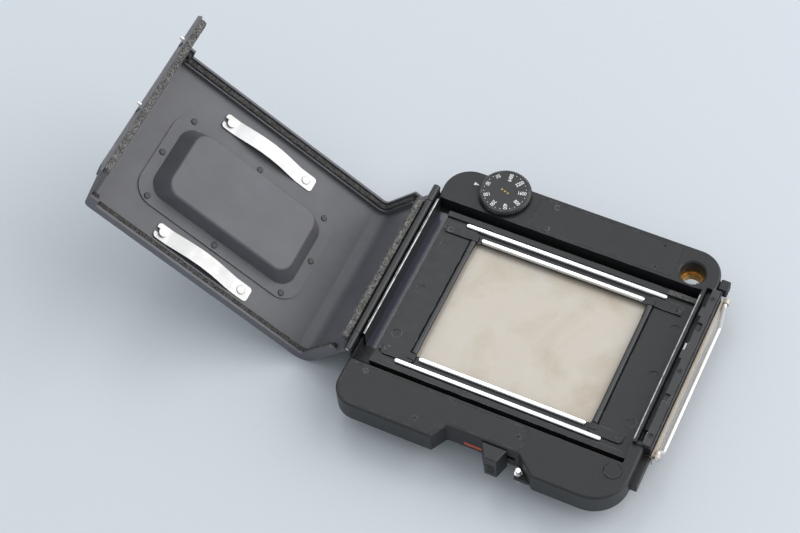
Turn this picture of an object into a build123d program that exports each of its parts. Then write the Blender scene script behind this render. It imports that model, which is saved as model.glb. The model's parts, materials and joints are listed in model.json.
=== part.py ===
"""Roll film holder for a medium-format camera, with its back cover open and the film insert taken out.

The holder's cast body carries two wings, the film gate with its rails and rollers, the dark slide, the
cover latch, the film speed dial and the lock that holds it to the camera. The back cover is a folded sheet
channel on a long hinge. Every size is in millimetres.

The origin is the centre of the camera opening, in the face that seats on the camera. +X runs along the film
from the hinge to the dark slide's handle, +Y runs to the film speed dial, and +Z runs to the back cover.
"""
from build123d import *
import os
from math import cos, radians, sin, sqrt

# ---- Driving dimensions -------------------------------------------------------------------------

# Levels above the camera face
FILM_Z = 18.0  # the film's back lies on the inner rails here
FLANGE_H = 9.7  # height of the camera-side flange, up to the underside of the wings
WING_TOP = 20.1
FLOOR_Z = 16.8  # top of the gate plate
GATE_PLATE_T = 0.8
SLIDE_ROOF_T = 1.0  # between the dark slide's slot and the gate plate
SLIDE_SLOT_H = 1.2
SLIDE_T = 0.6

# Film gate
GATE_X = 69.5
GATE_Y = 56.0
GATE_CORNER_R = 0.8
THROAT_W = 3.0  # the light path below the gate is this much wider
RAIL_W = 1.9
RAIL_ROUND = 0.45
RAIL_FROM_GATE = 1.0  # from the gate's edge to the middle of an inner rail
RAIL_SPACING = 4.1
INNER_RAIL_END = 0.65  # how far an inner rail stops short of the gate's corners
OUTER_RAIL_L = 84.0
OUTER_RAIL_X = -0.3
OUTER_RAIL_RISE = 0.3  # the outer rails stand this much above the film
ROLLER_R = 1.3
ROLLER_FROM_GATE = 2.15
ROLLER_GAP = 0.3
ROLLER_L = 55.0
ROLLER_AXLE_R = 0.6
ROLLER_AXLE_END = 2.6
ROLLER_RISE = 0.1  # the rollers stand this much above the inner rails
ROLLER_WAIST_L = 44.0
ROLLER_WAIST = 0.12
BRACKET_T = 0.7
BRACKET_L = 12.3
BRACKET_SCREW_L = 0.9
BRACKET_SCREW_INSET = 2.0
STAMP_R = 1.9
STAMP_DEPTH = 0.25
STAMP_SPACING = 21.7

# Film bay between the wings
RAIL_TO_RIDGE = 1.5
RIDGE_W = 2.3
RIDGE_RISE = 0.9
MOAT_W = 3.1
MOAT_Z = 13.0
STEP_W = 5.5
STEP_Z = 14.6
SHEET_WALL_T = 0.9
SHEET_WALL_LOW_Y = -30.0
LEFT_WALL_TOP = 23.2
RIGHT_WALL_TOP = 22.1
FELT_T = 0.4
RIDGE_FELT_L = 12.0

# Outline of the body seen from above
BODY_LEFT = -57.8
BODY_RIGHT = 57.8
UPPER_WING_W = 17.0
LOWER_WING_W = 18.5
BAY_LEFT_WALL = 1.1
BAY_RIGHT_WALL = 4.6
UPPER_CORNER_R = 11.0
LOWER_LEFT_R = 9.0
LOWER_RIGHT_R = 14.0
RIM_ROUND = 0.9
NOTCH_LEFT = -15.5
NOTCH_FLOOR_LEFT = -11.8
NOTCH_FLOOR_RIGHT = 17.2
NOTCH_RIGHT = 25.0
NOTCH_DEPTH = 6.5
NOTCH_CORNER_R = 0.8

# Camera-side flange
FLANGE_X = 92.0
FLANGE_Y = 82.0
FLANGE_CORNER_R = 10.0
FLANGE_STEP = 3.0  # width and height of the step round its foot
FLANGE_MOUTH = 8.0  # the light path's mouth is this much wider than the gate

# Wing plates
COVER_PLATE_T = 0.9
PLATE_FIT = 0.1
PLATE_RIM = 1.4
LOWER_PLATE_RIGHT = 16.6
LOWER_PLATE_INSET = 1.1
UPPER_PLATE_LEFT = -19.6
UPPER_PLATE_RIGHT = 40.0
UPPER_PLATE_LOW_INSET = 1.2
UPPER_PLATE_HIGH_INSET = 1.8
UPPER_PLATE_R = 1.6
POCKET_FLOOR_T = 1.5
PLUG_R = 3.3
PLUG_T = 1.6
PLUG_RISE = 0.5
PLUG_FIT = 0.15
PLUG_FROM_RIGHT = 6.9
PLUG_FROM_BOTTOM = 14.0

# Dark slide and the housing that it runs in
SLIDE_LEFT = -38.0
SLIDE_LOW_Y = -31.0
SLIDE_HIGH_Y = 35.0
SLIDE_GAP = 0.3
HOUSING_W = 2.6  # how far the housing stands out from the body
HOUSING_LOW_Y = -31.0
HOUSING_TOP = 20.6
HOUSING_ROOT = 7.8
FOOT_LOW_Y = -44.0
FOOT_H = 5.2
SLIDE_END_GAP = 0.4  # between the housing's outer face and the slide's folded end
SLIDE_END_H = 7.4
SLIDE_HEM_T = 0.25
SLIDE_HEM = (1.6, 4.6)  # heights of the hem's edges above the folded end's lower edge
BAIL_R = 0.85
BAIL_X = 0.8  # the bail's bar stands this far outside its pivots
BAIL_DROP = 6.2
PIVOT_RISE = 0.6  # the handle's pivots above the sheet
PIVOT_TUCK = 0.4  # the ears sink this far into the folded end
BAIL_HIGH_INSET = 6.4
BAIL_LOW_INSET = 3.5
BAIL_END = 0.3
BAIL_EAR_GAP = 1.0
BAIL_BEND_R = 1.6
EAR_R = 1.5
EAR_W = 1.8
SLIDE_FELT = (2.0, 4.4)  # edges of the felts, back from the housing's outer face

# Cover latch
LATCH_SLOT_FROM_OUT = (5.8, 3.5)  # edges of the slot, back from the housing's outer face
LATCH_CHANNEL_FROM_OUT = 2.4
FINGER_POCKET_FROM_OUT = 1.6
FINGER_POCKET_END = 1.5
FINGER_W = 1.0
FINGER_OVERHANG = 0.9
FINGER_TOP_GAP = 0.1
LATCH_LOW_Y = -29.5
LATCH_BAR_Z = 16.9
LATCH_BAR_T = 1.0
LATCH_BAR_LOW_Y = -23.0
LATCH_BAR_EDGE = 0.8  # the bar stops this far inside the body's side, beside the knob
LATCH_TRAVEL = 3.0
STRIKE_Y = (23.5, -9.5)
STRIKE_PIN_R = 0.7
STRIKE_PIN_L = 1.5
STRIKE_STEM_R = 0.4
STRIKE_PIN_Z = 18.9
LATCH_PLATE_T = 0.8
LATCH_PLATE_EDGE = 0.5
LATCH_PLATE_INSET = 0.4
LATCH_PLATE_BEVEL = 0.3
LATCH_TAB_W = 1.1
LATCH_TABS = ((28.4, 32.4), (8.6, 12.4))
STRIKE_NOTCH = (1.6, 2.1)  # room below and above each strike pin
LATCH_SCREW_L = 2.0
LATCH_GAP = 0.3
KNOB_FROM_BAY = 5.8
KNOB_L = 4.8
KNOB_OUT = 3.8
KNOB_H = 4.4
KNOB_NECK_L = 1.2  # how far the latch bar reaches into the knob
KNOB_NECK_INSET = 0.4
KNOB_SIDE_R = 0.7
KNOB_TOP_R = 0.4
KNOB_RIBS = (-1.4, 0.0, 1.4)
KNOB_RIB_R = 0.4
SPRING_COIL_R = 0.55
SPRING_WIRE_R = 0.15
SPRING_PITCH = 0.5
SPRING_END_GAP = 0.2

# Film speed dial
DIAL_FROM_LEFT = 24.1
DIAL_FROM_TOP = 6.1
DIAL_R = 10.6
DIAL_H = 2.2
DIAL_GAP = 0.25
DIAL_BEVEL = 0.9
DIAL_FACE_R = 9.2
DIAL_FACE_DEPTH = 0.4
DIAL_FACE_T = 0.3
DIAL_ROOF_T = 0.6
DIAL_SPINDLE_R = 2.0
DIAL_SPINDLE_GAP = 0.2
KNURLS = 60
KNURL_R = 0.35
INDEX_GAP = 0.4
INDEX_L = 2.2
INDEX_W = 1.4
INDEX_H = 0.3
RUNNING_FIT = 0.05

# Coupling bore with its brass bush
COUPLING_FROM_EDGES = 10.9
COUPLING_R = 5.0
COUPLING_MOUTH = 0.6
BUSH_BORE_R = 3.5
BUSH_L = 4.2
BUSH_SEAT = 0.8  # width and depth of the step in the bush's mouth

# Camera lock
LUG_LEFT = 2.3
LUG_RIGHT = 12.6
LUG_TIP_LEFT = 6.0
LUG_TIP_RIGHT = 10.8
LUG_TIP_SHY = 0.3  # the lug's tip stops this far inside the body's lower edge
LUG_BOTTOM = 7.5
LUG_BEVEL = 0.35
LUG_GROOVES = 4
LUG_GROOVE_H = 0.6
LUG_GROOVE_DEPTH = 0.3
LUG_GROOVE_INSET = 0.6
LUG_GROOVE_PITCH = 1.6
LUG_GROOVE_Z = 2.2
LUG_GAP = 0.3
LUG_TRAVEL = 4.5
TONGUE_Z = 14.0
TONGUE_T = 1.6
TONGUE_ROOM = 6.0
TONGUE_L = 5.6
INDICATOR_LEFT = -5.0
INDICATOR_Z = (11.1, 12.9)
INDICATOR_T = 0.4
PIN_X = 18.5
PIN_FROM_BOTTOM = 3.0
PIN_R = 1.0
PIN_COLLAR_W = 0.5
PIN_COLLAR_T = 0.9
PIN_BELOW = 4.0
PIN_ABOVE = 3.0
PIN_ROUND = 0.4
SHELF_H = 2.0
SHELF_RIGHT = 23.0
SHELF_EDGE = 1.9

# Hinge
HINGE_X = -59.0
HINGE_Z = 23.0
HINGE_R = 1.5
HINGE_PIN_R = 0.7
HINGE_PIN_END = 0.3
HINGE_LEAF_T = 0.8
KNUCKLE_L = 7.5
KNUCKLE_GAP = 0.3
LEAF_T = 0.6
LEAF_TOP = 8.0
HINGE_SCREW_Y = (33.0, 1.0, -31.0)
HINGE_SCREW_Z = 13.0
HINGE_LEAF_EDGE = 0.6
OPEN_ANGLE = 145.4

# Back cover, drawn closed with the hinge axis as its origin
COVER_T = 1.0
COVER_INSET = 1.4  # the cover's sides stand this far inside the bay
COVER_RISE = 32.4
WALL_START = (-0.5, 1.9)
HINGE_WALL_LEAN = 3.5
PANEL_L = 105.6
END_WALL_LEAN = 6.2
END_WALL_Z = -0.3
BEND_R = 6.5
END_BEND_R = 3.0
LIP_H = 4.6
LIP_T = 0.9
LIP_ENDS = (7.0, 9.0)  # up from the hinge, and down from the panel
SEAL_W = 2.5
SEAL_H = 3.0
SEAL_ENDS = (9.0, 8.0)
SEAL_GAP = 0.3
HINGE_SEAL_R = 4.3
HINGE_SEAL_H = 1.6
END_SEAL_W = 2.7
END_SEAL_TOP = 3.0
END_INSET = 1.0
STRIKE_T = 0.7
STRIKE_LOW = -1.2
STRIKE_HIGH = 7.5
STRIKE_TAB_HALF = 1.8
STRIKE_TAB_EDGE = 0.2
STRIKE_TAB_ROOT = 0.5
INNER_LIP_T = 0.6
INNER_LIP_H = 2.0
INNER_LIP_ENDS = (9.0, 5.0)
PAN_X = 58.0
PAN_Y = -2.0
PAN_FLANGE = (77.5, 43.0)
PAN_FLANGE_R = 9.0
PAN_BASE = (68.0, 33.6)
PAN_BASE_R = 7.0
PAN_TOP = (57.5, 29.8)
PAN_TOP_R = 6.0
PAN_ROUND = 1.2
PAN_H = 7.0
PAN_T = 0.6
SPRING_SPACING = 28.0
SPRING_RIVET_X = 40.0
SPRING_STUD_X = 77.6
SPRING_ENDS = (4.0, 3.0)  # past the rivet and past the stud
SPRING_FLATS = (3.5, 3.0)
SPRING_W = 6.4
SPRING_T = 0.4
SPRING_BOW = 3.4
SPRING_LIFT = 0.4  # at the stud
SPRING_CORNER_R = 1.4
SPRING_KINK_R = 6.0
SPRING_BOW_R = 40.0
FORK_W = 1.9
STUD_R = 0.8
STUD_HEAD_R = 1.8
STUD_HEAD = (1.2, 1.9)  # below the panel

# Fasteners
SCREW_HEAD_R = 1.2
SCREW_HEAD_H = 0.6
SCREW_R = 0.7
SCREW_L = 2.4
HOLE_FIT = 0.05
RIVET_R = 1.3
RIVET_H = 0.4
RIVET_SHANK_R = 0.65
SPRING_RIVET_R = 1.8

# ---- Values that follow from them ---------------------------------------------------------------

DECK_Z = FLOOR_Z - GATE_PLATE_T
SLIDE_ROOF_Z = DECK_Z - SLIDE_ROOF_T
SLIDE_SLOT_Z = SLIDE_ROOF_Z - SLIDE_SLOT_H
SLIDE_Z = SLIDE_SLOT_Z + (SLIDE_SLOT_H - SLIDE_T) / 2
PLATE_BOTTOM = WING_TOP - COVER_PLATE_T

ROLLER_X = GATE_X / 2 + ROLLER_FROM_GATE
ROLLER_Z = FILM_Z + ROLLER_RISE - ROLLER_R
INNER_RAIL_Y = GATE_Y / 2 + RAIL_FROM_GATE
INNER_RAIL_L = GATE_X - 2 * INNER_RAIL_END
OUTER_RAIL_Y = INNER_RAIL_Y + RAIL_SPACING
BRACKET_SCREW_TOP = DECK_Z + BRACKET_SCREW_L + SCREW_HEAD_H

RIDGE_IN_Y = OUTER_RAIL_Y + RAIL_TO_RIDGE
RIDGE_OUT_Y = RIDGE_IN_Y + RIDGE_W
BAY_Y = RIDGE_OUT_Y + MOAT_W
BAY_LEFT = BODY_LEFT + BAY_LEFT_WALL
BAY_RIGHT = BODY_RIGHT - BAY_RIGHT_WALL
STEP_X = BAY_LEFT + STEP_W
BODY_TOP = BAY_Y + UPPER_WING_W
BODY_BOTTOM = -BAY_Y - LOWER_WING_W
NOTCH_Y = BODY_BOTTOM + NOTCH_DEPTH

HOUSING_X = BODY_RIGHT + HOUSING_W
HOUSING_HIGH_Y = BAY_Y + 2.0
HOUSING_ROOT_X = BODY_RIGHT - HOUSING_ROOT
SLIDE_END_X = HOUSING_X + SLIDE_END_GAP
SLIDE_END_LOW_Y = HOUSING_LOW_Y
SLIDE_END_HIGH_Y = HOUSING_HIGH_Y + 0.7
PIVOT_X = SLIDE_END_X + SLIDE_T + EAR_R - PIVOT_TUCK
PIVOT_Z = SLIDE_Z + PIVOT_RISE

LATCH_SLOT_L = HOUSING_X - LATCH_SLOT_FROM_OUT[0]
LATCH_SLOT_R = HOUSING_X - LATCH_SLOT_FROM_OUT[1]
LATCH_CHANNEL_R = HOUSING_X - LATCH_CHANNEL_FROM_OUT
FINGER_POCKET_R = HOUSING_X - FINGER_POCKET_FROM_OUT
LATCH_PLATE_R = HOUSING_X - LATCH_PLATE_EDGE
LATCH_SCREW_X = (LATCH_SLOT_R + LATCH_PLATE_R) / 2 - 0.05
KNOB_X = BODY_RIGHT + LATCH_GAP
KNOB_Y = BAY_Y + KNOB_FROM_BAY
KNOB_BAR_X = BODY_RIGHT - LATCH_BAR_EDGE
NECK_LOW_Y = KNOB_Y - KNOB_L / 2 + KNOB_NECK_INSET
NECK_HIGH_Y = KNOB_Y + KNOB_L / 2 - KNOB_NECK_INSET

DIAL_X = BODY_LEFT + DIAL_FROM_LEFT
DIAL_Y = BODY_TOP - DIAL_FROM_TOP
DIAL_BOTTOM = WING_TOP + DIAL_GAP
DIAL_TOP = DIAL_BOTTOM + DIAL_H
COUPLING_X = BODY_RIGHT - COUPLING_FROM_EDGES
COUPLING_Y = BODY_TOP - COUPLING_FROM_EDGES
PLUG_X = BODY_RIGHT - PLUG_FROM_RIGHT
PLUG_Y = BODY_BOTTOM + PLUG_FROM_BOTTOM

LUG_TIP_Y = BODY_BOTTOM + LUG_TIP_SHY
PIN_Y = BODY_BOTTOM + PIN_FROM_BOTTOM
SHELF_TOP = FLANGE_H + SHELF_H

HINGE_LOW_Y = -BAY_Y + 1.5
HINGE_HIGH_Y = HOUSING_HIGH_Y
COVER_HALF_Y = BAY_Y - COVER_INSET
PANEL_Z = COVER_RISE - COVER_T  # the panel's inner face
HINGE_SLOPE = HINGE_WALL_LEAN / (COVER_RISE - WALL_START[1])
END_SLOPE = END_WALL_LEAN / (COVER_RISE - END_WALL_Z)
PANEL_RIGHT = WALL_START[0] + HINGE_WALL_LEAN + PANEL_L
END_WALL_X = PANEL_RIGHT + END_WALL_LEAN
COVER_AT = Pos(HINGE_X, 0, HINGE_Z) * Rot(0, -OPEN_ANGLE, 0)
FAR = 200.0  # longer than anything that is cut


# ---- Shapes used by many pieces -----------------------------------------------------------------


def block(x0, x1, y0, y1, z0, z1):
    """A block between two opposite corners."""
    return Pos((x0 + x1) / 2, (y0 + y1) / 2, (z0 + z1) / 2) * Box(x1 - x0, y1 - y0, z1 - z0)


def post(x, y, radius, z0, z1):
    """A round bar along Z."""
    return Pos(x, y, (z0 + z1) / 2) * Cylinder(radius, z1 - z0)


def rod(x, z, radius, y0, y1):
    """A round bar along Y."""
    return Pos(x, (y0 + y1) / 2, z) * Rot(90, 0, 0) * Cylinder(radius, y1 - y0)


def slab(sketch, z0, z1):
    """A flat shape raised from z0 to z1."""
    return Pos(0, 0, z0) * extrude(sketch, amount=z1 - z0, dir=(0, 0, 1))


def across(sketch, y0, y1):
    """A shape drawn in the XZ plane, pulled along Y from y0 to y1."""
    return Pos(0, y1, 0) * Rot(90, 0, 0) * extrude(sketch, amount=y1 - y0, dir=(0, 0, 1))


def outline(points, radii):
    """A closed flat shape whose corners are rounded."""
    return make_face(FilletPolyline(*points, radius=radii, close=True))


def polygon(*points):
    """A closed flat shape with sharp corners."""
    return make_face(Polyline(*points, close=True))


def group(solids):
    """Separate solids that share one node."""
    return Compound(children=[s.solids()[0] for s in solids])


def screw(x, y, top, length):
    """A cross-head screw whose head is flush with the level top."""
    head = post(x, y, SCREW_HEAD_R, top - SCREW_HEAD_H, top)
    shank = post(x, y, SCREW_R, top - SCREW_HEAD_H - length, top - SCREW_HEAD_H)
    cross_l = SCREW_HEAD_R * 1.3
    cross_w = SCREW_HEAD_R * 0.3
    depth = SCREW_HEAD_H * 0.6
    cross = Pos(x, y, top) * (Box(cross_l, cross_w, 2 * depth) + Box(cross_w, cross_l, 2 * depth))
    return head + shank - cross


def screw_room(x, y, top, length):
    """The counterbore and hole that a screw leaves in what it holds."""
    head = post(x, y, SCREW_HEAD_R + HOLE_FIT, top - SCREW_HEAD_H, top + 1)
    shank = post(x, y, SCREW_R + HOLE_FIT, top - SCREW_HEAD_H - length - HOLE_FIT, top)
    return head + shank


def cut_screws(body, points, top, length=SCREW_L):
    """Take the room for each screw out of a body."""
    for x, y in points:
        body -= screw_room(x, y, top, length)
    return body


def screw_set(points, top, length=SCREW_L):
    """One screw at each point."""
    return group([screw(x, y, top, length) for x, y in points])


# ---- Where the fasteners are --------------------------------------------------------------------

UPPER_PLATE_SCREWS = [(x, y) for x in (-12.3, 32.7) for y in (BODY_TOP - 3.8, BAY_Y + 2.7)]
LOWER_PLATE_SCREWS = [(-23.9, BODY_BOTTOM + 4.9), (14.2, -BAY_Y - 5.4), (-49.5, -BAY_Y - 2.9)]
BRACKET_SCREW_Y = INNER_RAIL_Y + 0.2
BRACKET_SCREW_X = ROLLER_X + BRACKET_L - BRACKET_SCREW_INSET
BRACKET_SCREWS = [(x * BRACKET_SCREW_X, y * BRACKET_SCREW_Y) for x in (-1, 1) for y in (1, -1)]
LATCH_PLATE_SCREWS = [(LATCH_SCREW_X, y) for y in (37.0, 3.0, -26.0)]
FLANGE_SCREWS = [(x, y) for x in (-41.5, 41.5) for y in (24.0, -24.0)]
WING_POCKETS = [  # hollows under the wing plates: left, right, lower, upper
    (-46.0, -27.5, BODY_BOTTOM + 2.9, -BAY_Y - 3.2),
    (-20.5, 11.0, NOTCH_Y + 2.2, -BAY_Y - 3.2),
    (-9.5, 30.0, BAY_Y + 3.0, BODY_TOP - 3.6),
]
PAN_RIVETS = [
    (-32.3, 19.0),
    (-32.3, -19.0),
    (0, 19.3),
    (0, -19.3),
    (32.3, 19.0),
    (32.3, -19.0),
    (36.4, 0),
    (-36.4, 0),
]


# ---- Body ---------------------------------------------------------------------------------------


def body_outline():
    """The body seen from above, with the notch for the camera lock in its lower edge."""
    points = [
        (BODY_LEFT, BODY_BOTTOM),
        (NOTCH_LEFT, BODY_BOTTOM),
        (NOTCH_FLOOR_LEFT, NOTCH_Y),
        (NOTCH_FLOOR_RIGHT, NOTCH_Y),
        (NOTCH_RIGHT, BODY_BOTTOM),
        (BODY_RIGHT, BODY_BOTTOM),
        (BODY_RIGHT, BODY_TOP),
        (BODY_LEFT, BODY_TOP),
    ]
    notch = [NOTCH_CORNER_R] * 4
    return outline(points, [LOWER_LEFT_R, *notch, LOWER_RIGHT_R, UPPER_CORNER_R, UPPER_CORNER_R])


def lower_plate_shape(grow):
    """The lower wing's cover plate, inset from the rim, with grow added all round."""
    right = LOWER_PLATE_RIGHT + grow
    top = -BAY_Y - LOWER_PLATE_INSET + grow
    corner = Pos((BODY_LEFT + right) / 2, (BODY_BOTTOM + top) / 2) * Rectangle(
        right - BODY_LEFT, top - BODY_BOTTOM
    )
    return offset(body_outline(), amount=grow - PLATE_RIM) & corner


def upper_plate_shape(grow):
    """The upper wing's cover plate, with grow added all round."""
    left, right = UPPER_PLATE_LEFT - grow, UPPER_PLATE_RIGHT + grow
    low = BAY_Y + UPPER_PLATE_LOW_INSET - grow
    high = BODY_TOP - UPPER_PLATE_HIGH_INSET + grow
    plate = RectangleRounded(right - left, high - low, UPPER_PLATE_R + grow)
    return Pos((left + right) / 2, (low + high) / 2) * plate


def casting_blank():
    """The wings, the housing and the latch-side wall before anything is cut."""
    body = slab(body_outline(), FLANGE_H, WING_TOP)
    body = fillet(body.faces().sort_by(Axis.Z)[-1].edges(), RIM_ROUND)
    body += block(HOUSING_ROOT_X, HOUSING_X, HOUSING_LOW_Y, HOUSING_HIGH_Y, FLANGE_H, HOUSING_TOP)
    body += block(HOUSING_ROOT_X, HOUSING_X, FOOT_LOW_Y, HOUSING_LOW_Y, FLANGE_H, FLANGE_H + FOOT_H)
    return body + block(BAY_RIGHT, LATCH_SLOT_L, HOUSING_LOW_Y, HOUSING_HIGH_Y, DECK_Z, RIGHT_WALL_TOP)


def cut_bay(body):
    """Take out the film bay, the light path and the dark slide's slot."""
    body -= block(BAY_LEFT, BAY_RIGHT, -BAY_Y, BAY_Y, DECK_Z, FAR)
    for side in (-1, 1):
        moat = sorted((side * RIDGE_OUT_Y, side * BAY_Y))
        body -= block(BAY_LEFT, BAY_RIGHT, *moat, MOAT_Z, FAR)
        body -= roller_pocket(side)
    body -= block(BAY_LEFT, STEP_X, -RIDGE_OUT_Y, RIDGE_OUT_Y, STEP_Z, DECK_Z)
    body -= slab(Rectangle(GATE_X + THROAT_W, GATE_Y + THROAT_W), 0, FAR)
    slot_y = (SLIDE_LOW_Y - SLIDE_GAP, SLIDE_HIGH_Y + SLIDE_GAP)
    return body - block(SLIDE_LEFT - SLIDE_GAP, FAR, *slot_y, SLIDE_SLOT_Z, SLIDE_ROOF_Z)


def cut_latch(body):
    """Take out the slot, channel and finger pockets of the cover latch."""
    channel = (LATCH_BAR_Z - LATCH_GAP, LATCH_BAR_Z + LATCH_BAR_T + LATCH_GAP)
    knob_room_y = KNOB_Y + KNOB_L / 2 + LATCH_TRAVEL + LATCH_GAP
    body -= block(LATCH_SLOT_L, LATCH_SLOT_R, LATCH_LOW_Y, HOUSING_HIGH_Y, channel[0], FAR)
    body -= block(LATCH_SLOT_L, LATCH_CHANNEL_R, LATCH_LOW_Y, HOUSING_HIGH_Y, *channel)
    body -= block(LATCH_SLOT_L, KNOB_BAR_X + LATCH_GAP, HOUSING_HIGH_Y, knob_room_y, *channel)
    body -= block(LATCH_SLOT_L, FAR, NECK_LOW_Y - LATCH_GAP, knob_room_y, *channel)
    for y in STRIKE_Y:
        low = y - FINGER_OVERHANG - FINGER_POCKET_END
        high = finger_root_y(y) + FINGER_W + LATCH_TRAVEL + LATCH_GAP
        body -= block(LATCH_SLOT_R, FINGER_POCKET_R, low, high, channel[0], HOUSING_TOP)
    return body


def cut_wings(body):
    """Take out the seats of the wing plates, the hollows under them and the room for the lock."""
    body -= slab(lower_plate_shape(PLATE_FIT), PLATE_BOTTOM, FAR)
    body -= slab(upper_plate_shape(PLATE_FIT), PLATE_BOTTOM, FAR)
    for left, right, low, high in WING_POCKETS:
        body -= block(left, right, low, high, FLANGE_H + POCKET_FLOOR_T, PLATE_BOTTOM)
    tongue_x = (LUG_TIP_LEFT - LUG_GAP, LUG_TIP_RIGHT + LUG_TRAVEL + LUG_GAP)
    tongue_z = (TONGUE_Z - LUG_GAP, TONGUE_Z + TONGUE_T + LUG_GAP)
    body -= block(*tongue_x, NOTCH_Y - 1, NOTCH_Y + TONGUE_ROOM, *tongue_z)
    body -= lock_indicator()
    body -= post(COUPLING_X, COUPLING_Y, COUPLING_R, 0, FAR)
    mouth = Cone(COUPLING_R, COUPLING_R + COUPLING_MOUTH, COUPLING_MOUTH)
    body -= Pos(COUPLING_X, COUPLING_Y, WING_TOP - COUPLING_MOUTH / 2) * mouth
    return body - post(PLUG_X, PLUG_Y, PLUG_R + PLUG_FIT, WING_TOP - PLUG_T, FAR)


def body_casting():
    """The wings and the deck between them in one casting."""
    body = cut_wings(cut_latch(cut_bay(casting_blank())))
    shelf_left = LUG_RIGHT + LUG_TRAVEL + LUG_GAP
    body += block(shelf_left, SHELF_RIGHT, PIN_Y - SHELF_EDGE, NOTCH_Y + 1, FLANGE_H, SHELF_TOP)
    body -= post(PIN_X, PIN_Y, PIN_R + RUNNING_FIT, 0, FAR)
    spindle_top = DIAL_TOP - DIAL_ROOF_T - DIAL_SPINDLE_GAP
    body += post(DIAL_X, DIAL_Y, DIAL_SPINDLE_R, WING_TOP - 1, spindle_top)

    body = cut_screws(body, UPPER_PLATE_SCREWS, WING_TOP)
    body = cut_screws(body, LOWER_PLATE_SCREWS, WING_TOP)
    body = cut_screws(body, LATCH_PLATE_SCREWS, HOUSING_TOP + LATCH_PLATE_T, LATCH_SCREW_L)
    for x, y in FLANGE_SCREWS:
        body -= post(x, y, SCREW_R + HOLE_FIT, 0, FLANGE_H + 2)
    for y in HINGE_SCREW_Y:
        body -= hinge_screw_room(y)
    return body


def camera_flange():
    """The deep frame on the camera side: it seats on the camera and walls in the light path."""
    outer = RectangleRounded(FLANGE_X, FLANGE_Y, FLANGE_CORNER_R)
    edge = 2 * FLANGE_STEP
    seat = RectangleRounded(FLANGE_X - edge, FLANGE_Y - edge, FLANGE_CORNER_R - FLANGE_STEP)
    frame = slab(seat, 0, FLANGE_STEP) + slab(outer, FLANGE_STEP, FLANGE_H)
    mouth = RectangleRounded(GATE_X + FLANGE_MOUTH, GATE_Y + FLANGE_MOUTH, 4)
    throat = Pos(0, 0, FLANGE_H) * RectangleRounded(GATE_X + THROAT_W, GATE_Y + THROAT_W, 1.5)
    frame -= loft([mouth, throat])
    for x, y in FLANGE_SCREWS:
        frame -= post(x, y, SCREW_HEAD_R + HOLE_FIT, 0, FLANGE_STEP + SCREW_HEAD_H)
        frame -= post(x, y, SCREW_R + HOLE_FIT, 0, FLANGE_H)
    return frame


def flange_screws():
    """Four screws that hold the camera-side frame from below."""
    floor = FLANGE_STEP + SCREW_HEAD_H
    reach = FLANGE_H + 1.8
    screws = []
    for x, y in FLANGE_SCREWS:
        head = post(x, y, SCREW_HEAD_R, floor - SCREW_HEAD_H, floor)
        screws.append(head + post(x, y, SCREW_R, floor, reach))
    return group(screws)


# ---- Film gate ----------------------------------------------------------------------------------


def gate_plate():
    """The floor of the film bay, with the film gate and a ridge along each long side."""
    plate = block(STEP_X, BAY_RIGHT, -RIDGE_OUT_Y, RIDGE_OUT_Y, DECK_Z, FLOOR_Z)
    for side in (-1, 1):
        ridge = sorted((side * RIDGE_IN_Y, side * RIDGE_OUT_Y))
        plate += block(STEP_X, BAY_RIGHT, *ridge, FLOOR_Z, FLOOR_Z + RIDGE_RISE)
    plate -= slab(RectangleRounded(GATE_X, GATE_Y, GATE_CORNER_R), DECK_Z, FLOOR_Z)
    for side in (-1, 1):
        plate -= roller_pocket(side)
        plate -= roller_axle(side)
    for x in (-46.8, 49.3):
        for y in (STAMP_SPACING, 0.0, -STAMP_SPACING):
            plate -= post(x, y, STAMP_R, FLOOR_Z - STAMP_DEPTH, FAR)
    for x, y in BRACKET_SCREWS:
        plate -= post(x, y, SCREW_R + HOLE_FIT, DECK_Z, FLOOR_Z)
    return plate


def roller_pocket(side):
    """The room for a roller, open to the gate on its inner side."""
    near, far = GATE_X / 2 - 1, ROLLER_X + ROLLER_R + ROLLER_GAP
    half_l = ROLLER_L / 2 + ROLLER_GAP
    return block(*sorted((side * near, side * far)), -half_l, half_l, ROLLER_Z - ROLLER_R - 0.15, FAR)


def film_rail(x_mid, y, length, top):
    """A polished rail with rounded top edges and ends."""
    rail = Pos(x_mid, y, FLOOR_Z) * extrude(SlotOverall(length, RAIL_W), amount=top - FLOOR_Z)
    return fillet(rail.faces().sort_by(Axis.Z)[-1].edges(), RAIL_ROUND)


def guide_roller(side):
    """A black roller that turns on its axle beside the gate."""
    x, z = side * ROLLER_X, ROLLER_Z
    roller = rod(x, z, ROLLER_R, -ROLLER_L / 2, ROLLER_L / 2)
    roller = fillet(roller.edges().filter_by(GeomType.CIRCLE), 0.3)
    half = ROLLER_WAIST_L / 2
    waist = rod(x, z, ROLLER_R, -half, half) - rod(x, z, ROLLER_R - ROLLER_WAIST, -half, half)
    return roller - waist - rod(x, z, ROLLER_AXLE_R + RUNNING_FIT, -FAR, FAR)


def roller_axle(side):
    """The steel axle of a roller, with an end in each bracket."""
    half = ROLLER_L / 2 + ROLLER_AXLE_END
    return rod(side * ROLLER_X, ROLLER_Z, ROLLER_AXLE_R, -half, half)


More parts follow.
